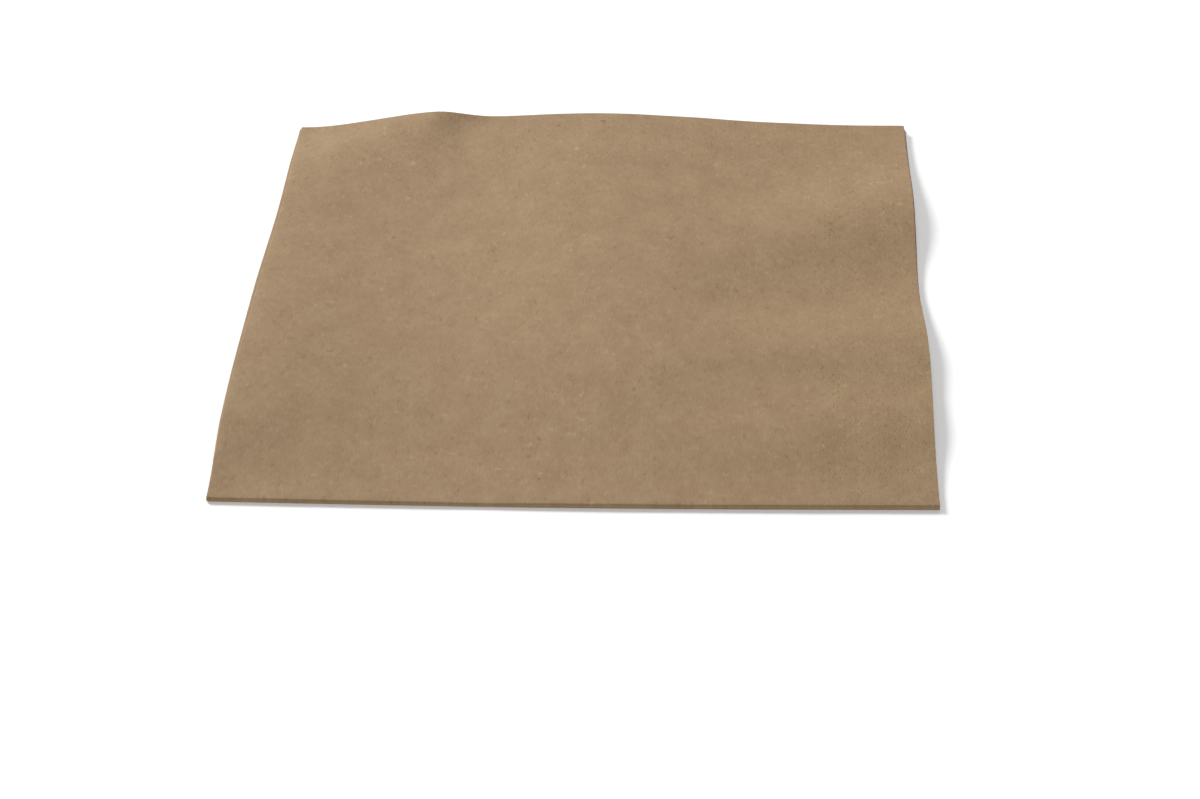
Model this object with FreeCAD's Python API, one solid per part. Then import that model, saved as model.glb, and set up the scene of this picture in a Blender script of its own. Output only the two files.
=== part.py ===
import FreeCAD, Part
import math
import os

# Sheet and paper, in millimetres
width = 165.0
depth = 165.0
paper = 0.27
fold_gap = 0.08
corner_opening = 0.14
edge_opening = 0.05

# Outline seen from above: the folds bow a little and the cut edges wander
left_hollow = 0.8
left_bulge = 0.5
front_bow = 0.8
lower_fold_peek = 0.7
lower_half_skew = 0.5
second_layer_right_trim = -0.5
second_layer_back_trim = 0.8
fourth_layer_back_trim = -0.6
right_bulge_rear = 0.15
right_bulge_front = 0.7
right_hollow = -0.3
back_wander = 0.3
rear_left_inset = 1.4

# Where each bow of an edge is and how far it reaches, as shares of the depth
left_hollow_span = (0.25, 0.16)
left_bulge_span = (0.85, 0.20)
right_rear_span = (0.21, 0.12)
right_front_span = (0.68, 0.13)
right_hollow_span = (0.46, 0.08)
# The back edge: reach of its inset, as a share of the width, and half waves of its wander
rear_left_inset_reach = 0.12
back_half_waves = 3.0
# The trims at the right edge grow with this power of the way from the left fold
trim_power = 6
# Where the layers open, as shares of the width and the depth
opening_right_start = 0.55
opening_back_end = 0.45
opening_left_end = 0.25

# Waves of the lying sheet: heights above the table
corner_ridge_height = 3.0
corner_ridge_left_height = 1.2
corner_ridge_outer_width = 13.0
corner_ridge_inner_width = 7.0
corner_ridge_inside_width = 22.0
main_swell_height = 3.8
main_swell_rear_width = 45.0
main_swell_front_width = 32.0
left_swell_height = 2.3
left_swell_width = 30.0
left_wave_height = 2.0
left_wave_back_width = 50.0
left_wave_front_width = 17.0
rear_wave_height = 3.4
rear_wave_width = 23.0
middle_wave_height = 2.6
middle_wave_width = 18.0
front_wave_height = 2.0
front_wave_width = 15.5

# Lines of the waves in plan, as shares of the width and the depth
corner_ridge_back_end = 0.225
corner_ridge_left_end = 0.20
corner_ridge_widening = 4.0  # its inner side is at full width after a quarter of the way
main_swell_middle = 0.50
main_swell_lean = 0.085
main_swell_narrow_end = 0.4
main_swell_fade = (0.55, 0.96)
left_swell_middle = 0.50
left_swell_reach = 0.36
left_wave_reach = 0.2
# Where a line crosses the left fold and how it slants, then from where to where its wave rises
left_wave_line = (0.82, -0.21)
rear_wave_line = (0.57, -0.31)
rear_wave_rise = (0.53, 0.93)
middle_wave_line = (0.79, -0.16)
middle_wave_rise = (0.46, 0.86)
front_wave_line = (0.965, -0.16)
front_wave_rise = (0.50, 0.88)
# The rear left corner and the front fold lie on the table
corner_droop_reach = 0.07
front_fold_start = 0.91

# Where the spans of the curves end, closer together where the waves are sharp
knots_across = [0.0, 0.16, 0.32, 0.47, 0.60, 0.70, 0.79, 0.88, 1.0]
knots_along = [0.0, 0.08, 0.17, 0.27, 0.38, 0.49, 0.59, 0.68, 0.78, 0.89, 1.0]
left_strips = 3
front_strips = 6


def bell(distance, width):
    return math.exp(-((distance / width) ** 2))


def step(value, start, end):
    share = (value - start) / (end - start)
    share = max(0.0, min(1.0, share))
    return share * share * (3.0 - 2.0 * share)


def arch(value):
    return math.sin(math.pi * max(0.0, min(1.0, value)))


def line_place(a, b, first, last):
    """Distance beside a line in plan, and the share of the way along it."""
    run_a = (last[0] - first[0]) * width
    run_b = (last[1] - first[1]) * depth
    length = math.hypot(run_a, run_b)
    from_a = a - first[0] * width
    from_b = b - first[1] * depth
    along = (from_a * run_a + from_b * run_b) / (length * length)
    beside = (from_a * run_b - from_b * run_a) / length
    return beside, along


def slant_place(a, b, line):
    """Distance in front of a line that slants across the napkin."""
    return b - depth * (line[0] + line[1] * a / width)


def right_wave(a, b, height, reach, line, rise):
    """Wave that runs in aslant from the right cut edge."""
    share = step(a, rise[0] * width, rise[1] * width)
    return height * share * bell(slant_place(a, b, line), reach)


def wave_height(a, b):
    """Height of the underside at a from the left fold and b from the back edge."""
    # Ridge that cuts off the rear left corner
    beside, along = line_place(a, b, (corner_ridge_back_end, 0.0), (0.0, corner_ridge_left_end))
    crest = corner_ridge_height + (corner_ridge_left_height - corner_ridge_height) * along
    spread = corner_ridge_inside_width - corner_ridge_inner_width
    widening = max(0.0, min(1.0, corner_ridge_widening * along))
    inner_reach = corner_ridge_inner_width + spread * widening
    reach = inner_reach if beside > 0.0 else corner_ridge_outer_width
    ridge = max(0.0, crest) * bell(beside, reach)
    # Broad swell from the middle of the back edge towards the front
    middle = width * (main_swell_middle + main_swell_lean * b / depth)
    narrowing = main_swell_front_width - main_swell_rear_width
    narrowing *= step(b, 0.0, main_swell_narrow_end * depth)
    swell = main_swell_height * bell(a - middle, main_swell_rear_width + narrowing)
    swell *= 1.0 - step(b, main_swell_fade[0] * depth, main_swell_fade[1] * depth)
    # The left fold springs up along its middle, with a short wave before its front end
    beyond = b - left_swell_middle * depth
    sides = left_swell_height * bell(a, left_swell_width) * bell(beyond, left_swell_reach * depth)
    beyond = slant_place(a, b, left_wave_line)
    reach = left_wave_front_width if beyond > 0.0 else left_wave_back_width
    sides += left_wave_height * bell(a, left_wave_reach * width) * bell(beyond, reach)
    # Three waves run in aslant from the right cut edge
    for height, reach, line, rise in (
        (rear_wave_height, rear_wave_width, rear_wave_line, rear_wave_rise),
        (middle_wave_height, middle_wave_width, middle_wave_line, middle_wave_rise),
        (front_wave_height, front_wave_width, front_wave_line, front_wave_rise),
    ):
        sides += right_wave(a, b, height, reach, line, rise)
    # The rear left corner and the front fold lie on the table
    corner = 1.0 - bell(math.hypot(a, b), corner_droop_reach * width)
    front_fold = 1.0 - step(b, front_fold_start * depth, depth)
    return (ridge + swell + sides * front_fold) * corner


def layer_pitch(a, b):
    """Distance from one layer to the next, wider towards the open corner."""
    open_right = step(a, opening_right_start * width, width)
    open_back = 1.0 - step(b, 0.0, opening_back_end * depth)
    open_back *= step(a, 0.0, opening_left_end * width)
    opening = corner_opening * open_right * open_back + edge_opening * max(open_right, open_back)
    return paper + fold_gap + opening


def bow(b, size, span):
    """Bow of an edge, with its middle and its reach as shares of the depth."""
    return size * bell(b - span[0] * depth, span[1] * depth)


def left_edge(b):
    return bow(b, left_hollow, left_hollow_span) - bow(b, left_bulge, left_bulge_span)


def right_edge(b):
    wander = bow(b, right_bulge_rear, right_rear_span)
    wander += bow(b, right_bulge_front, right_front_span)
    wander += bow(b, right_hollow, right_hollow_span)
    return width + wander


def front_edge(a):
    return depth + front_bow * arch(a / width)


def back_edge(a):
    wander = back_wander * math.sin(back_half_waves * math.pi * a / width)
    return wander + rear_left_inset * bell(a, rear_left_inset_reach * width)


# The paper runs flat, round a fold in narrow strips, and flat again
arc_left = math.pi * 0.5 * (paper + fold_gap)
arc_front = math.pi * (paper + fold_gap)


def stretches(flat, shares, arc, strips):
    """Each stretch along the paper: the places of its poles, its knots and its degree."""
    knots = [flat * share for share in shares]
    padded = [0.0] * 3 + knots + [flat] * 3
    places = [sum(padded[index + 1:index + 4]) / 3.0 for index in range(len(knots) + 2)]
    found = [(places, knots, 3)]
    for index in range(strips):
        low = flat + arc * index / strips
        high = flat + arc * (index + 1) / strips
        found.append(([low, high], [0.0, 1.0], 1))
    end = 2.0 * flat + arc
    back = [flat - knot for knot in reversed(knots)]
    found.append(([end - place for place in reversed(places)], back, 3))
    return found


def fold_place(place, flat, arc):
    """Share of the flat stretch, angle round the fold, and share of the way to the lower half."""
    if place <= flat:
        return place / flat, 0.0, 0.0
    if place >= flat + arc:
        return (2.0 * flat + arc - place) / flat, math.pi, 1.0
    share = (place - flat) / arc
    return 1.0, math.pi * share, share


def pole(across, along, face):
    """One pole. face is 1 on the outside of the left fold and -1 on its inside."""
    flat_share, turn, inner = fold_place(across, width, arc_left)
    path_share, path_turn, lower = fold_place(along, depth, arc_front)
    # First guess of the place in plan, enough to read the edges and the pitch
    rough_a = width * (1.0 - flat_share)
    rough_b = depth * path_share
    pitch = layer_pitch(rough_a, rough_b)
    half = 0.5 * pitch + face * 0.5 * paper
    radius = pitch + half * math.cos(turn)
    largest = 1.5 * pitch + 0.5 * paper
    # Back to front
    skew = second_layer_back_trim * inner * (1.0 - lower) + fourth_layer_back_trim * (1.0 - inner) * lower
    start = back_edge(rough_a) + skew * (1.0 - flat_share)
    centre = front_edge(rough_a) - largest
    b = start + path_share * (centre - start) + radius * math.sin(path_turn)
    # Left to right
    away = 1.0 - min(1.0, max(0.0, b / depth))
    left = left_edge(b) - lower * (lower_fold_peek * arch(b / depth) + lower_half_skew * away)
    begin = left + 0.5 * pitch + 0.5 * paper
    right = right_edge(b)
    a = begin + (1.0 - flat_share) * (right - begin) - half * math.sin(turn)
    trim = second_layer_right_trim * inner + lower_half_skew * lower * away
    a += trim * (1.0 - flat_share) ** trim_power
    wave = wave_height(min(width, max(0.0, a)), min(depth, max(0.0, b)))
    height = wave + largest + radius * math.cos(path_turn)
    return FreeCAD.Vector(a - width / 2.0, depth / 2.0 - b, height)


def surface(grid, across, along):
    """Face on a grid of poles, with the knots and degree of each direction."""
    mults = []
    for _, knots, degree in (across, along):
        mults.append([degree + 1] + [1] * (len(knots) - 2) + [degree + 1])
    made = Part.BSplineSurface()
    made.buildFromPolesMultsKnots(
        grid, mults[0], mults[1], across[1], along[1], False, False, across[2], along[2]
    )
    return made.toShape()


def build_napkin():
    faces = []
    thick = ([1.0, -1.0], [0.0, 1.0], 1)
    around = stretches(width, knots_across, arc_left, left_strips)
    ahead = stretches(depth, knots_along, arc_front, front_strips)
    # Outer and inner face of the paper
    for across in around:
        for along in ahead:
            for face in thick[0]:
                grid = [[pole(u, v, face) for v in along[0]] for u in across[0]]
                faces.append(surface(grid, across, along))
    # Cut edges along the right side
    for end in (around[0][0][0], around[-1][0][-1]):
        for along in ahead:
            grid = [[pole(end, v, face) for face in thick[0]] for v in along[0]]
            faces.append(surface(grid, along, thick))
    # Cut edges along the back
    for end in (ahead[0][0][0], ahead[-1][0][-1]):
        for across in around:
            grid = [[pole(u, end, face) for face in thick[0]] for u in across[0]]
            faces.append(surface(grid, across, thick))
    solid = Part.Solid(Part.Shell(faces))
    if solid.Volume < 0:
        solid.reverse()
    return solid


# The origin lies under the middle of the napkin, at the height of the table
napkin = build_napkin()
box = napkin.optimalBoundingBox()
shift = FreeCAD.Vector(-box.Center.x, -box.Center.y, -box.ZMin)
napkin.translate(shift)
print("valid", napkin.isValid(), "closed", napkin.isClosed(), "volume", round(napkin.Volume, 1))
print("size", round(box.XLength, 2), round(box.YLength, 2), round(box.ZLength, 2))
print("shift", [round(value, 3) for value in shift])
os.makedirs("parts", exist_ok=True)
napkin.exportStep("parts/napkin.step")
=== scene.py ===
import math

import bpy
import numpy as np
from mathutils import Matrix, Vector


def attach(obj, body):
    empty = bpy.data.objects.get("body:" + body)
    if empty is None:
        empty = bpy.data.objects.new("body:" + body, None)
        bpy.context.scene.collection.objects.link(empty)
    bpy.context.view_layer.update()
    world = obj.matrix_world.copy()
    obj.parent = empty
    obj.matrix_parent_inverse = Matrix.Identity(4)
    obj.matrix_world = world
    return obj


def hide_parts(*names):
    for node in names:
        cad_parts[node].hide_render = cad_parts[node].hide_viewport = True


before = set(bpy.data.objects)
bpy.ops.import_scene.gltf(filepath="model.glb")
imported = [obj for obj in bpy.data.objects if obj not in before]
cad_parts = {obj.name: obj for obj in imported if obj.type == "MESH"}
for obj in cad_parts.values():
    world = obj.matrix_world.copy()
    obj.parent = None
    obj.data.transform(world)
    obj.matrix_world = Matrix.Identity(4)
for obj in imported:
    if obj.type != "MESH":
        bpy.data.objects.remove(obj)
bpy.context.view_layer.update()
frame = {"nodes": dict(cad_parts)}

mm = 0.001
print("frame loaded:", ", ".join(frame["nodes"]))

# The folded sheet, in millimetres: a runs from the left fold, b from the back edge
napkin = {
    "width": 165.0,
    "depth": 165.0,
    "paper": 0.27,
    "foldGap": 0.08,
    "cornerOpening": 0.14,
    "edgeOpening": 0.05,
    "openingRightStart": 0.55,  # shares of the width and the depth
    "openingBackEnd": 0.45,
    "openingLeftEnd": 0.25,
    "leftHollow": 0.8,
    "leftHollowSpan": (0.25, 0.16),  # middle and reach of the bow, as shares of the depth
    "leftBulge": 0.5,
    "leftBulgeSpan": (0.85, 0.20),
    "rightBulgeRear": 0.15,
    "rightBulgeRearSpan": (0.21, 0.12),
    "rightBulgeFront": 0.7,
    "rightBulgeFrontSpan": (0.68, 0.13),
    "rightHollow": -0.3,
    "rightHollowSpan": (0.46, 0.08),
    "frontBow": 0.8,
    "backWander": 0.3,
    "backHalfWaves": 3.0,
    "rearLeftInset": 1.4,
    "rearLeftInsetReach": 0.12,  # share of the width
    "lowerFoldPeek": 0.7,
    "lowerHalfSkew": 0.5,
    "secondLayerRightTrim": -0.5,
    "secondLayerBackTrim": 0.8,
    "fourthLayerBackTrim": -0.6,
    "trimPower": 6,
    "centreShift": (0.096, 0.089),
    "flatLines": 84,  # lines of points along a flat stretch
    "closerLines": 0.25,  # how much they crowd at the cut edge and at the fold
    "leftFoldLines": 8,
    "frontFoldLines": 10,
    "sharpAngle": 50.0,
}

# Heights of the waves over the table, and how wide they are, in millimetres
waves = {
    "cornerRidge": 3.0,
    "cornerRidgeLeft": 1.2,
    "cornerRidgeOuterWidth": 13.0,
    "cornerRidgeInnerWidth": 7.0,
    "cornerRidgeInsideWidth": 22.0,
    "mainSwell": 3.8,
    "mainSwellRearWidth": 45.0,
    "mainSwellFrontWidth": 32.0,
    "leftSwell": 2.4,
    "leftSwellWidth": 28.0,
    "leftWave": 2.3,
    "leftWaveBackWidth": 50.0,
    "leftWaveWidth": 15.5,
    "rearWave": 3.4,
    "rearWaveWidth": 19.5,
    "middleWave": 2.6,
    "middleWaveWidth": 17.0,
    "frontWave": 2.1,
    "frontWaveWidth": 13.5,
}

# Where the waves lie, as shares of the width and the depth
waveLines = {
    "ridgeBackEnd": 0.225,
    "ridgeLeftEnd": 0.20,
    "ridgeWidening": 4.0,  # its inner side is at full width after a quarter of the way
    "swellMiddle": 0.50,
    "swellLean": 0.085,
    "swellNarrowEnd": 0.4,
    "swellFade": (0.55, 0.96),
    "leftSwellMiddle": 0.50,
    "leftSwellReach": 0.36,
    "leftWaveReach": 0.2,
    "leftWave": (0.82, -0.21),  # where its crest crosses the left fold, and its slant
    "rearWave": (0.57, -0.31),
    "middleWave": (0.79, -0.16),
    "frontWave": (0.965, -0.16),
    "rearWaveRise": (0.53, 0.93),  # from where to where it rises to the right
    "middleWaveRise": (0.46, 0.86),
    "frontWaveRise": (0.50, 0.88),
    "cornerDroop": 0.07,
    "frontFoldStart": 0.91,
}

# Fine relief that the soft sheet takes over the waves, in millimetres
relief = {
    "wrinkleSize": 26.0,
    "wrinkleHeight": 0.24,
    "creaseSize": 11.0,
    "creaseHeight": 0.06,
    "clearance": 0.9,  # share of the relief for each millimetre over the table
    "seed": 7.0,
}

# Colours, shares of the tone, and sizes in metres on the flat sheet
paperLook = {
    "colour": (0.337, 0.223, 0.121),
    "lightColour": (0.421, 0.297, 0.173),
    "darkColour": (0.249, 0.155, 0.075),
    "darkAt": 0.20,  # tones that the three colours stand for
    "middleAt": 0.50,
    "lightAt": 0.80,
    "roughness": 0.80,
    "specular": 0.35,
    "cloud": {"size": (0.0070, 0.0098), "detail": 2.0},
    "cloudShare": 0.34,
    "grain": {"size": (0.0021, 0.0030), "turn": 10.0, "shift": 31.7},
    "grainShare": 0.21,
    "fleck": {"size": (0.0011, 0.00176), "shift": 57.0, "detail": 0.0, "curl": 0.8},
    "fleckShare": 4.6,
    "fibre": {"size": (0.00032, 0.00160), "detail": 0.0, "curl": 0.5},
    # turn in degrees, shift and share of each lot of fibres
    "fibreWays": ((4.0, 3.1, 0.50), (38.0, 7.7, 0.30), (-43.0, 12.9, 0.30), (88.0, 21.3, 0.22)),
    "fibreShare": 0.27,
    "fibreRelief": 0.00005,
    "sheetSide": 0.330,
    "borderWidth": 0.026,
    "dotPitch": 0.0018,
    "dotRadius": 0.00042,
    "dotDepth": 0.00007,
    "rimRise": 0.5,  # share of the depth
    "rimReach": 2.0,  # times the radius
    # painted shade: how much darker the pits of the pressed dots are coloured
    "dotPaintedShade": -0.13,
    "press": {"size": (0.005, 0.005), "shift": 44.0},
    "pressContrast": 4.0,
    "pressMiddle": 0.6,
}

white = (1.0, 1.0, 1.0, 1.0)
studio = {
    "cameraPlace": (0.03276, -0.55604, 0.37980),
    "cameraDown": 36.396,
    "cameraTurn": 3.106,
    "cameraRoll": -1.255,
    "lens": 81.0,
    "sensorWidth": 36.0,
    "nearLimit": 0.01,
    "lamps": {  # place, size and power
        "keyLight": ((-1.95, 1.85, 1.75), 1.2, 109.0),
        "rearLight": ((0.10, 0.55, 0.60), 0.5, 1.6),
        "frontLight": ((0.20, -1.60, 0.36), 0.8, 7.0),
    },
    "skyStrength": 0.16,
    "floorSize": 6.0,
    "floorColour": (0.90, 0.90, 0.90, 1.0),
    "floorRoughness": 0.9,
    "floorSpecular": 0.1,
    "floorGlow": 0.24,  # for the camera alone, so the table looks white and keeps its shadow
    "farGlow": 0.22,  # added for each metre away, where the lamps reach less
}


def bell(distance, reach):
    return np.exp(-((distance / reach) ** 2))


def smoothStep(value, start, end):
    share = np.clip((value - start) / (end - start), 0.0, 1.0)
    return share * share * (3.0 - 2.0 * share)


def arch(value):
    return np.sin(np.pi * np.clip(value, 0.0, 1.0))


def layerPitch(a, b):
    # distance from one layer to the next, wider towards the open corner
    width, depth = napkin["width"], napkin["depth"]
    openRight = smoothStep(a, napkin["openingRightStart"] * width, width)
    openBack = 1.0 - smoothStep(b, 0.0, napkin["openingBackEnd"] * depth)
    openBack = openBack * smoothStep(a, 0.0, napkin["openingLeftEnd"] * width)
    opening = napkin["cornerOpening"] * openRight * openBack
    opening = opening + napkin["edgeOpening"] * np.maximum(openRight, openBack)
    return napkin["paper"] + napkin["foldGap"] + opening


def bow(b, name):
    depth = napkin["depth"]
    middle, reach = napkin[name + "Span"]
    return napkin[name] * bell(b - middle * depth, reach * depth)


def shareToBack(b):
    return 1.0 - np.clip(b / napkin["depth"], 0.0, 1.0)


def leftEdge(b, lower):
    # the lower half peeks out from under the upper one
    peek = napkin["lowerFoldPeek"] * arch(b / napkin["depth"])
    peek = peek + napkin["lowerHalfSkew"] * shareToBack(b)
    return bow(b, "leftHollow") - bow(b, "leftBulge") - lower * peek


def rightEdge(b):
    wander = bow(b, "rightBulgeRear") + bow(b, "rightBulgeFront") + bow(b, "rightHollow")
    return napkin["width"] + wander


def backEdge(a):
    width = napkin["width"]
    wander = napkin["backWander"] * np.sin(napkin["backHalfWaves"] * np.pi * a / width)
    return wander + napkin["rearLeftInset"] * bell(a, napkin["rearLeftInsetReach"] * width)


def alongPaper(flat, arc, foldLines):
    # flat share, turn round the fold, share of the turn, and distance along the sheet
    flatLines = napkin["flatLines"]
    even = np.linspace(0.0, 1.0, flatLines)
    crowded = 0.5 - 0.5 * np.cos(np.pi * even)
    shares = (1.0 - napkin["closerLines"]) * even + napkin["closerLines"] * crowded
    turns = np.linspace(0.0, math.pi, foldLines + 1)[1:-1]
    flatShare = np.concatenate([shares, np.ones(len(turns)), shares[::-1]])
    turn = np.concatenate([np.zeros(flatLines), turns, np.full(flatLines, math.pi)])
    whole = 2.0 * flat + arc
    run = [shares * flat, flat + arc * turns / math.pi, whole - shares[::-1] * flat]
    return flatShare, turn, turn / math.pi, np.concatenate(run) * (2.0 * flat) / whole


def skinPoints(profile, path, face):
    # face is 1 on the outside of the left fold and -1 on its inside
    width, depth, paper = napkin["width"], napkin["depth"], napkin["paper"]
    flatShare, turn, inner = (row[:, None] for row in profile[:3])
    pathShare, pathTurn, lower = (row[None, :] for row in path[:3])
    roughA = width * (1.0 - flatShare)
    pitch = layerPitch(roughA, depth * pathShare)
    # the left fold turns round half a pitch, and the front fold round the doubled sheet
    half = 0.5 * pitch + face * 0.5 * paper
    radius = pitch + half * np.cos(turn)
    largest = 1.5 * pitch + 0.5 * paper
    # back to front
    trim = napkin["secondLayerBackTrim"] * inner * (1.0 - lower)
    trim = trim + napkin["fourthLayerBackTrim"] * (1.0 - inner) * lower
    start = backEdge(roughA) + trim * (1.0 - flatShare)
    centre = depth + napkin["frontBow"] * arch(roughA / width) - largest
    b = start + pathShare * (centre - start) + radius * np.sin(pathTurn)
    # left to right
    begin = leftEdge(b, lower) + 0.5 * pitch + 0.5 * paper
    a = begin + (1.0 - flatShare) * (rightEdge(b) - begin) - half * np.sin(turn)
    trim = napkin["secondLayerRightTrim"] * inner
    trim = trim + napkin["lowerHalfSkew"] * lower * shareToBack(b)
    a = a + trim * (1.0 - flatShare) ** napkin["trimPower"]
    height = largest + radius * np.cos(pathTurn)
    shiftX, shiftY = napkin["centreShift"]
    place = [a - width / 2.0 + shiftX, depth / 2.0 - b + shiftY, height]
    return np.stack(place, axis=-1).reshape(-1, 3) * mm


def gridFaces(rows, columns, start, flip):
    index = start + np.arange(rows * columns).reshape(rows, columns)
    corners = [index[:-1, :-1], index[1:, :-1], index[1:, 1:], index[:-1, 1:]]
    quads = np.stack([corner.ravel() for corner in corners], axis=1)
    return quads[:, ::-1] if flip else quads


def rimFaces(rows, columns):
    # the four cut edges, from the outer face of the paper to the inner one
    count = rows * columns
    outer = np.arange(count).reshape(rows, columns)
    rims = []
    for line, flip in (
        (outer[0, :], True),
        (outer[-1, :], False),
        (outer[:, 0], False),
        (outer[:, -1], True),
    ):
        near, far = line[:-1], line[1:]
        quads = np.stack([near, far, far + count, near + count], axis=1)
        rims.append(quads[:, ::-1] if flip else quads)
    return rims


def makeSheetMesh():
    pitch = napkin["paper"] + napkin["foldGap"]
    profile = alongPaper(napkin["width"], math.pi * 0.5 * pitch, napkin["leftFoldLines"])
    path = alongPaper(napkin["depth"], math.pi * pitch, napkin["frontFoldLines"])
    rows, columns = len(profile[0]), len(path[0])
    skins = [skinPoints(profile, path, face) for face in (1.0, -1.0)]
    faces = [gridFaces(rows, columns, 0, False), gridFaces(rows, columns, rows * columns, True)]
    faces = np.concatenate(faces + rimFaces(rows, columns))
    mesh = bpy.data.meshes.new("napkinSheet")
    mesh.from_pydata(np.concatenate(skins).tolist(), [], faces.tolist())
    mesh.update()
    # flat place on the unfolded sheet, in metres, for the patterns
    across = np.repeat(profile[3], columns) * mm
    along = np.tile(path[3], rows) * mm
    flatPlace = np.tile(np.stack([across, along], axis=1), (2, 1))
    layer = mesh.uv_layers.new(name="sheetPlace")
    corner = np.empty(len(mesh.loops), dtype=np.int32)
    mesh.loops.foreach_get("vertex_index", corner)
    layer.data.foreach_set("uv", flatPlace[corner].astype(np.float32).ravel())
    return mesh


def addNode(tree, kind, **settings):
    node = tree.nodes.new(kind)
    for name, value in settings.items():
        setattr(node, name, value)
    return node


def feed(tree, node, values):
    # an output is linked to its socket, and anything else is set on it
    for name, value in values.items():
        if isinstance(value, bpy.types.NodeSocket):
            tree.links.new(value, node.inputs[name])
        else:
            node.inputs[name].default_value = value


def placeNodes(tree):
    # in columns from left to right, in the order in which the nodes were made
    inColumn, columnStep, rowStep = 10, 200, -170
    for index, node in enumerate(tree.nodes):
        node.location = (columnStep * (index // inColumn), rowStep * (index % inColumn))


def addMath(tree, operation, *values, clamp=False):
    node = addNode(tree, "ShaderNodeMath", operation=operation, use_clamp=clamp)
    feed(tree, node, dict(enumerate(values)))
    return node.outputs[0]


def addSum(tree, parts):
    total = parts[0]
    for part in parts[1:]:
        total = addMath(tree, "ADD", total, part)
    return total


def addProduct(tree, parts):
    total = parts[0]
    for part in parts[1:]:
        total = addMath(tree, "MULTIPLY", total, part)
    return total


def addBlend(tree, first, last, share):
    return addSum(tree, [first, addProduct(tree, [addMath(tree, "SUBTRACT", last, first), share])])


def addBell(tree, distance, reach):
    share = addMath(tree, "DIVIDE", distance, reach)
    return addMath(tree, "EXPONENT", addProduct(tree, [share, share, -1.0]))


def addRise(tree, value, start, end):
    rise = addNode(tree, "ShaderNodeMapRange", interpolation_type="SMOOTHSTEP")
    feed(tree, rise, {"Value": value, "From Min": start, "From Max": end})
    return rise.outputs["Result"]


def addFall(tree, value, start, end):
    return addMath(tree, "SUBTRACT", 1.0, addRise(tree, value, start, end))


def addRidge(tree, size, a, b):
    # the ridge that cuts off the rear left corner
    runA = -waveLines["ridgeBackEnd"] * napkin["width"]
    runB = waveLines["ridgeLeftEnd"] * napkin["depth"]
    length = math.hypot(runA, runB)
    fromA = addMath(tree, "ADD", a, runA)
    along = addSum(tree, [
        addProduct(tree, [fromA, runA / length ** 2]),
        addProduct(tree, [b, runB / length ** 2]),
    ])
    beside = addSum(tree, [
        addProduct(tree, [fromA, runB / length]),
        addProduct(tree, [b, -runA / length]),
    ])
    crest = addBlend(tree, size["cornerRidge"], size["cornerRidgeLeft"], along)
    crest = addMath(tree, "MAXIMUM", crest, 0.0)
    widening = addMath(tree, "MULTIPLY", along, waveLines["ridgeWidening"], clamp=True)
    inner = addBlend(tree, size["cornerRidgeInnerWidth"], size["cornerRidgeInsideWidth"], widening)
    inside = addMath(tree, "GREATER_THAN", beside, 0.0)
    reach = addBlend(tree, size["cornerRidgeOuterWidth"], inner, inside)
    return addProduct(tree, [crest, addBell(tree, beside, reach)])


def addSwell(tree, size, a, b):
    # broad swell from the middle of the back edge towards the front
    width, depth = napkin["width"], napkin["depth"]
    lean = addProduct(tree, [b, waveLines["swellLean"] * width / depth])
    middle = addSum(tree, [lean, waveLines["swellMiddle"] * width])
    narrowing = addRise(tree, b, 0.0, waveLines["swellNarrowEnd"] * depth)
    reach = addBlend(tree, size["mainSwellRearWidth"], size["mainSwellFrontWidth"], narrowing)
    across = addBell(tree, addMath(tree, "SUBTRACT", a, middle), reach)
    fade = addFall(tree, b, *(share * depth for share in waveLines["swellFade"]))
    return addProduct(tree, [size["mainSwell"], across, fade])


def addShortWave(tree, size, a, b, name):
    # a wave whose crest runs aslant over the napkin
    width, depth = napkin["width"], napkin["depth"]
    start, slant = waveLines[name]
    crest = addSum(tree, [addProduct(tree, [a, slant * depth / width]), start * depth])
    beyond = addMath(tree, "SUBTRACT", b, crest)
    reach = size[name + "Width"]
    if name == "leftWave":  # a long slope behind its crest, a short one before it
        across = addBell(tree, a, waveLines["leftWaveReach"] * width)
        before = addMath(tree, "GREATER_THAN", beyond, 0.0)
        reach = addBlend(tree, size["leftWaveBackWidth"], reach, before)
    else:
        across = addRise(tree, a, *(share * width for share in waveLines[name + "Rise"]))
    return addProduct(tree, [size[name], across, addBell(tree, beyond, reach)])


def addWaves(tree, size, a, b):
    # height of the waves in millimetres, at a from the left fold and b from the back edge
    width, depth = napkin["width"], napkin["depth"]
    # the left fold springs up along its middle
    beyond = addMath(tree, "SUBTRACT", b, waveLines["leftSwellMiddle"] * depth)
    sides = [addProduct(tree, [
        size["leftSwell"],
        addBell(tree, a, size["leftSwellWidth"]),
        addBell(tree, beyond, waveLines["leftSwellReach"] * depth),
    ])]
    for name in ("leftWave", "rearWave", "middleWave", "frontWave"):
        sides.append(addShortWave(tree, size, a, b, name))
    # the front fold lies flat, and the rear left corner droops
    flat = addFall(tree, b, waveLines["frontFoldStart"] * depth, depth)
    side = addProduct(tree, [addSum(tree, sides), flat])
    squares = [addProduct(tree, [a, a]), addProduct(tree, [b, b])]
    away = addMath(tree, "SQRT", addSum(tree, squares))
    droop = addBell(tree, away, waveLines["cornerDroop"] * width)
    lift = addSum(tree, [addRidge(tree, size, a, b), addSwell(tree, size, a, b), side])
    return addProduct(tree, [lift, addMath(tree, "SUBTRACT", 1.0, droop)])


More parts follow.
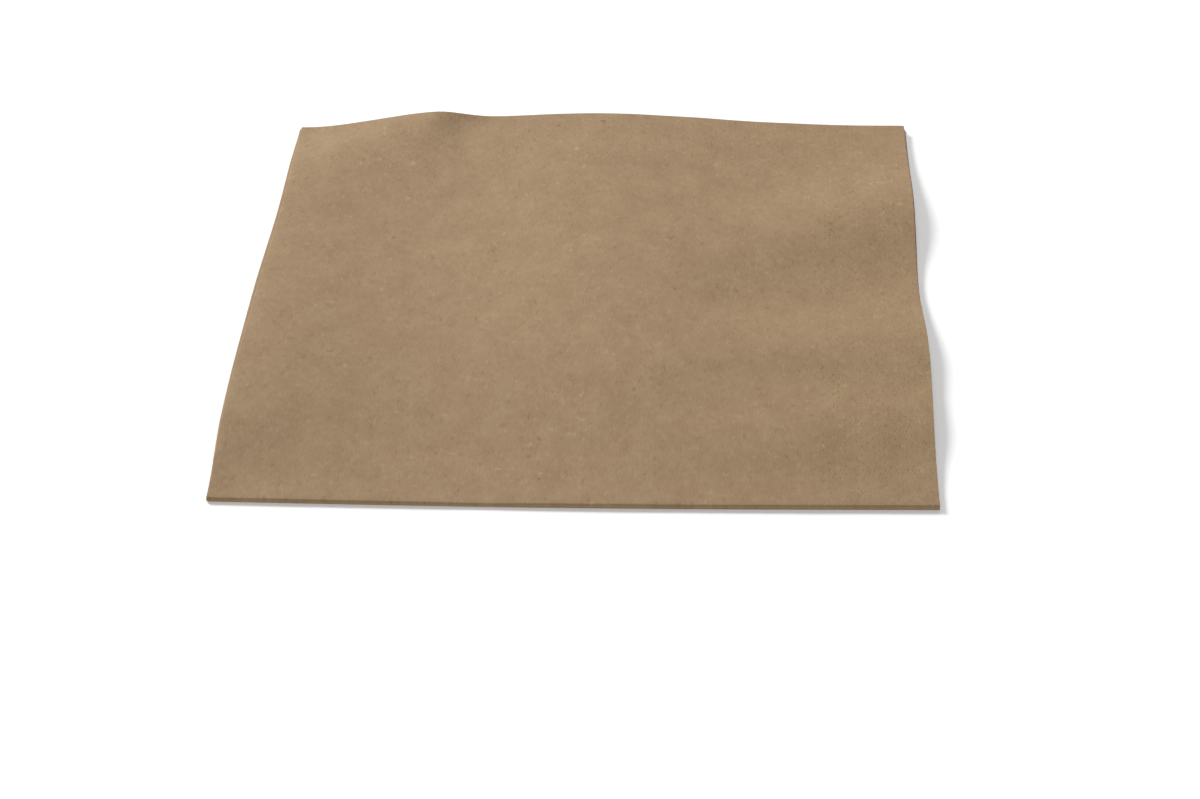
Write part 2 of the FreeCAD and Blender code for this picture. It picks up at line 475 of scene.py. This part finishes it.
def addWrinkles(tree, size, plan):
    # noise from 0 to 1 becomes a lift to either side of the wave
    lifts = []
    for name, detail in (("wrinkle", 1.0), ("crease", 2.0)):
        scale = addMath(tree, "DIVIDE", 1.0, size[name + "Size"])
        noise = addNode(tree, "ShaderNodeTexNoise", noise_dimensions="4D")
        feed(tree, noise, {"Vector": plan, "W": size["seed"], "Scale": scale, "Detail": detail})
        centred = addMath(tree, "SUBTRACT", noise.outputs["Fac"], 0.5)
        lifts.append(addProduct(tree, [centred, 2.0, size[name + "Height"]]))
    return addSum(tree, lifts)


def addPlanPlace(tree, part, side, start, end):
    # distance from an edge of the napkin, in millimetres, kept between it and the far edge
    place = addSum(tree, [addProduct(tree, [part, side / mm]), start])
    return addMath(tree, "MINIMUM", addMath(tree, "MAXIMUM", place, 0.0), end)


def makeSheetTree(material):
    # lifts the folded sheet off the table; every layer at one place rises alike, so none runs
    # into the next
    tree = bpy.data.node_groups.new("lyingSheet", "GeometryNodeTree")
    tree.interface.new_socket("Geometry", in_out="INPUT", socket_type="NodeSocketGeometry")
    for name in [*waves, *relief]:
        tree.interface.new_socket(name, in_out="INPUT", socket_type="NodeSocketFloat")
    tree.interface.new_socket("Geometry", in_out="OUTPUT", socket_type="NodeSocketGeometry")
    start = addNode(tree, "NodeGroupInput")
    size = {name: start.outputs[name] for name in [*waves, *relief]}
    split = addNode(tree, "ShaderNodeSeparateXYZ")
    feed(tree, split, {0: addNode(tree, "GeometryNodeInputPosition").outputs[0]})
    shiftX, shiftY = napkin["centreShift"]
    width, depth = napkin["width"], napkin["depth"]
    a = addPlanPlace(tree, split.outputs["X"], 1.0, width / 2.0 - shiftX, width)
    b = addPlanPlace(tree, split.outputs["Y"], -1.0, depth / 2.0 + shiftY, depth)
    plan = addNode(tree, "ShaderNodeCombineXYZ")
    feed(tree, plan, {"X": a, "Y": b})
    wave = addWaves(tree, size, a, b)
    wrinkle = addWrinkles(tree, size, plan.outputs[0])
    height = addSum(tree, [addProduct(tree, [split.outputs["Z"], 1.0 / mm]), wave])
    # the wrinkles fade out where the sheet meets the table
    clear = addMath(tree, "MULTIPLY", height, size["clearance"], clamp=True)
    lift = addSum(tree, [wave, addProduct(tree, [wrinkle, clear])])
    up = addNode(tree, "ShaderNodeCombineXYZ")
    feed(tree, up, {"Z": addProduct(tree, [lift, mm])})
    move = addNode(tree, "GeometryNodeSetPosition")
    feed(tree, move, {"Geometry": start.outputs["Geometry"], "Offset": up.outputs[0]})
    real = addNode(tree, "GeometryNodeRealizeInstances")
    feed(tree, real, {0: move.outputs[0]})
    paint = addNode(tree, "GeometryNodeSetMaterial")
    feed(tree, paint, {"Geometry": real.outputs[0], "Material": material})
    feed(tree, addNode(tree, "NodeGroupOutput"), {0: paint.outputs[0]})
    placeNodes(tree)
    return tree


def applyTree(piece, tree, values):
    modifier = piece.modifiers.new("waves", "NODES")
    modifier.node_group = tree
    inputs = [item for item in tree.interface.items_tree if item.in_out == "INPUT"]
    sockets = {item.name: item.identifier for item in inputs}
    for name, value in values.items():
        modifier[sockets[name]] = value
    graph = bpy.context.evaluated_depsgraph_get()
    mesh = bpy.data.meshes.new_from_object(piece.evaluated_get(graph), depsgraph=graph)
    piece.modifiers.remove(modifier)
    old = piece.data
    piece.data = mesh
    bpy.data.meshes.remove(old)


def addSheetNoise(tree, sheet, size, turn=0.0, shift=0.0, detail=1.0, curl=0.0):
    # noise on the flat sheet, centred on nought; size is its width and length in metres
    place = addNode(tree, "ShaderNodeMapping")
    feed(tree, place, {
        "Vector": sheet,
        "Location": (shift, -shift, 0.0),
        "Rotation": (0.0, 0.0, math.radians(turn)),
        "Scale": (1.0 / size[0], 1.0 / size[1], 1.0),
    })
    noise = addNode(tree, "ShaderNodeTexNoise")
    feed(tree, noise, {
        "Vector": place.outputs[0],
        "Scale": 1.0,
        "Detail": detail,
        "Distortion": curl,
    })
    return addMath(tree, "SUBTRACT", noise.outputs["Fac"], 0.5)


def addPressedDots(tree, sheet):
    # rows of pin dots, set off by half a step, in the border of the open sheet; gives how deep
    # a place is in a dot and in the rim round it
    look = paperLook
    spread = addNode(tree, "ShaderNodeSeparateXYZ")
    feed(tree, spread, {0: sheet})
    across, along = spread.outputs["X"], spread.outputs["Y"]
    edges = []
    for way in (across, along):
        edges.append(addMath(tree, "MINIMUM", way, addMath(tree, "SUBTRACT", look["sheetSide"], way)))
    edge = addMath(tree, "MINIMUM", *edges)
    border = addMath(tree, "LESS_THAN", edge, look["borderWidth"])
    squares = []
    for operation in ("ADD", "SUBTRACT"):
        diagonal = addMath(tree, operation, across, along)
        row = addProduct(tree, [diagonal, 1.0 / (look["dotPitch"] * math.sqrt(2.0))])
        off = addMath(tree, "SUBTRACT", addMath(tree, "FRACT", row), 0.5)
        squares.append(addProduct(tree, [off, off]))
    away = addMath(tree, "SQRT", addSum(tree, squares))
    press = addSheetNoise(tree, sheet, **look["press"])
    press = addProduct(tree, [press, look["pressContrast"]])
    press = addMath(tree, "ADD", press, look["pressMiddle"], clamp=True)
    share = look["dotRadius"] / look["dotPitch"]
    depths = []
    for reach in (share, look["rimReach"] * share):
        within = addMath(tree, "SUBTRACT", 1.0, addMath(tree, "DIVIDE", away, reach), clamp=True)
        depths.append(addProduct(tree, [within, border, press]))
    return depths


def makePaperMaterial():
    material = bpy.data.materials.new("kraftTissue")
    material.use_nodes = True
    tree = material.node_tree
    shader = next(node for node in tree.nodes if node.type == "BSDF_PRINCIPLED")
    look = paperLook
    sheet = addNode(tree, "ShaderNodeUVMap", uv_map="sheetPlace").outputs[0]

    # soft clouds of thicker pulp, and short fibres that mostly lie one way
    cloud = addSheetNoise(tree, sheet, **look["cloud"])
    grain = addSheetNoise(tree, sheet, **look["grain"])
    lots = []
    for turn, shift, share in look["fibreWays"]:
        lot = addSheetNoise(tree, sheet, turn=turn, shift=shift, **look["fibre"])
        lots.append(addProduct(tree, [lot, share]))
    fibres = addSum(tree, lots)
    # a few darker and lighter flecks: the cube leaves the peaks of the noise alone
    fleck = addSheetNoise(tree, sheet, **look["fleck"])
    dot, rim = addPressedDots(tree, sheet)
    tone = addSum(tree, [
        addProduct(tree, [cloud, look["cloudShare"]]),
        addProduct(tree, [grain, look["grainShare"]]),
        addProduct(tree, [fibres, look["fibreShare"]]),
        addProduct(tree, [fleck, fleck, fleck, look["fleckShare"]]),
        # painted shade: the pits of the pressed dots are coloured darker, on top of their bump
        addProduct(tree, [dot, look["dotPaintedShade"]]),
        look["middleAt"],
    ])
    ramp = addNode(tree, "ShaderNodeValToRGB")
    dark, light = ramp.color_ramp.elements
    dark.position = look["darkAt"]
    dark.color = (*look["darkColour"], 1.0)
    light.position = look["lightAt"]
    light.color = (*look["lightColour"], 1.0)
    ramp.color_ramp.elements.new(look["middleAt"]).color = (*look["colour"], 1.0)
    feed(tree, ramp, {"Fac": tone})

    # the dots are pressed in, each with a soft raised rim
    height = addSum(tree, [
        addProduct(tree, [dot, -(1.0 + look["rimRise"]) * look["dotDepth"]]),
        addProduct(tree, [rim, look["rimRise"] * look["dotDepth"]]),
        addProduct(tree, [fibres, look["fibreRelief"]]),
    ])
    bump = addNode(tree, "ShaderNodeBump")
    feed(tree, bump, {"Strength": 1.0, "Distance": 1.0, "Height": height})
    feed(tree, shader, {
        "Base Color": ramp.outputs["Color"],
        "Roughness": look["roughness"],
        "Specular IOR Level": look["specular"],
        "Normal": bump.outputs[0],
    })
    placeNodes(tree)
    return material


def makeNapkin():
    material = makePaperMaterial()
    piece = bpy.data.objects.new("foldedNapkin", makeSheetMesh())
    bpy.context.scene.collection.objects.link(piece)
    applyTree(piece, makeSheetTree(material), {**waves, **relief})
    mesh = piece.data
    mesh.polygons.foreach_set("use_smooth", np.ones(len(mesh.polygons), dtype=bool))
    mesh.set_sharp_from_angle(angle=math.radians(napkin["sharpAngle"]))
    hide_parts("napkin")
    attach(piece, "root")
    print("napkin made:", len(mesh.polygons), "faces")


def addCleanRays(tree):
    # rays that should find a plain white studio: straight from the camera, or by way of metal
    # or glass
    path = addNode(tree, "ShaderNodeLightPath").outputs
    mirrored = addMath(tree, "MAXIMUM", path["Is Glossy Ray"], path["Is Transmission Ray"])
    return addMath(tree, "MAXIMUM", path["Is Camera Ray"], mirrored)


def makeFloor():
    size = studio["floorSize"]
    corners = [(-size, -size, 0.0), (size, -size, 0.0), (size, size, 0.0), (-size, size, 0.0)]
    mesh = bpy.data.meshes.new("tableTop")
    mesh.from_pydata(corners, [], [(0, 1, 2, 3)])
    floor = bpy.data.objects.new("tableTop", mesh)
    bpy.context.scene.collection.objects.link(floor)
    material = bpy.data.materials.new("paleTable")
    material.use_nodes = True
    tree = material.node_tree
    shader = next(node for node in tree.nodes if node.type == "BSDF_PRINCIPLED")
    far = addNode(tree, "ShaderNodeVectorMath", operation="LENGTH")
    feed(tree, far, {0: addNode(tree, "ShaderNodeTexCoord").outputs["Object"]})
    further = addMath(tree, "MULTIPLY", far.outputs["Value"], studio["farGlow"], clamp=True)
    glow = addSum(tree, [further, studio["floorGlow"]])
    feed(tree, shader, {
        "Base Color": studio["floorColour"],
        "Roughness": studio["floorRoughness"],
        "Specular IOR Level": studio["floorSpecular"],
        "Emission Color": white,
        "Emission Strength": addProduct(tree, [addCleanRays(tree), glow]),
    })
    placeNodes(tree)
    mesh.materials.append(material)
    print("floor made")


def addAreaLight(name, place, size, power):
    light = bpy.data.lights.new(name, "AREA")
    light.shape = "DISK"
    light.size = size
    light.energy = power
    lamp = bpy.data.objects.new(name, light)
    lamp.location = place
    # faces the middle of the table
    lamp.rotation_euler = Vector(place).to_track_quat("Z", "Y").to_euler()
    bpy.context.scene.collection.objects.link(lamp)


def makeCamera():
    camera = bpy.data.objects.new("camera", bpy.data.cameras.new("camera"))
    camera.data.lens = studio["lens"]
    camera.data.sensor_width = studio["sensorWidth"]
    camera.data.clip_start = studio["nearLimit"]
    turn = Matrix.Rotation(math.radians(studio["cameraTurn"]), 4, "Z")
    tilt = Matrix.Rotation(math.radians(90.0 - studio["cameraDown"]), 4, "X")
    roll = Matrix.Rotation(math.radians(studio["cameraRoll"]), 4, "Z")
    camera.matrix_world = Matrix.Translation(studio["cameraPlace"]) @ turn @ tilt @ roll
    bpy.context.scene.collection.objects.link(camera)
    bpy.context.scene.camera = camera


def makeWorld():
    world = bpy.data.worlds.new("studio")
    world.use_nodes = True
    tree = world.node_tree
    background = next(node for node in tree.nodes if node.type == "BACKGROUND")
    seen = addCleanRays(tree)
    sky = addProduct(tree, [addMath(tree, "SUBTRACT", 1.0, seen), studio["skyStrength"]])
    feed(tree, background, {"Color": white, "Strength": addSum(tree, [seen, sky])})
    placeNodes(tree)
    bpy.context.scene.world = world


def makeStudio():
    makeCamera()
    for name, (place, size, power) in studio["lamps"].items():
        addAreaLight(name, place, size, power)
    makeWorld()
    bpy.context.scene.view_settings.view_transform = "Standard"
    print("camera and lights made")


makeNapkin()
makeFloor()
makeStudio()
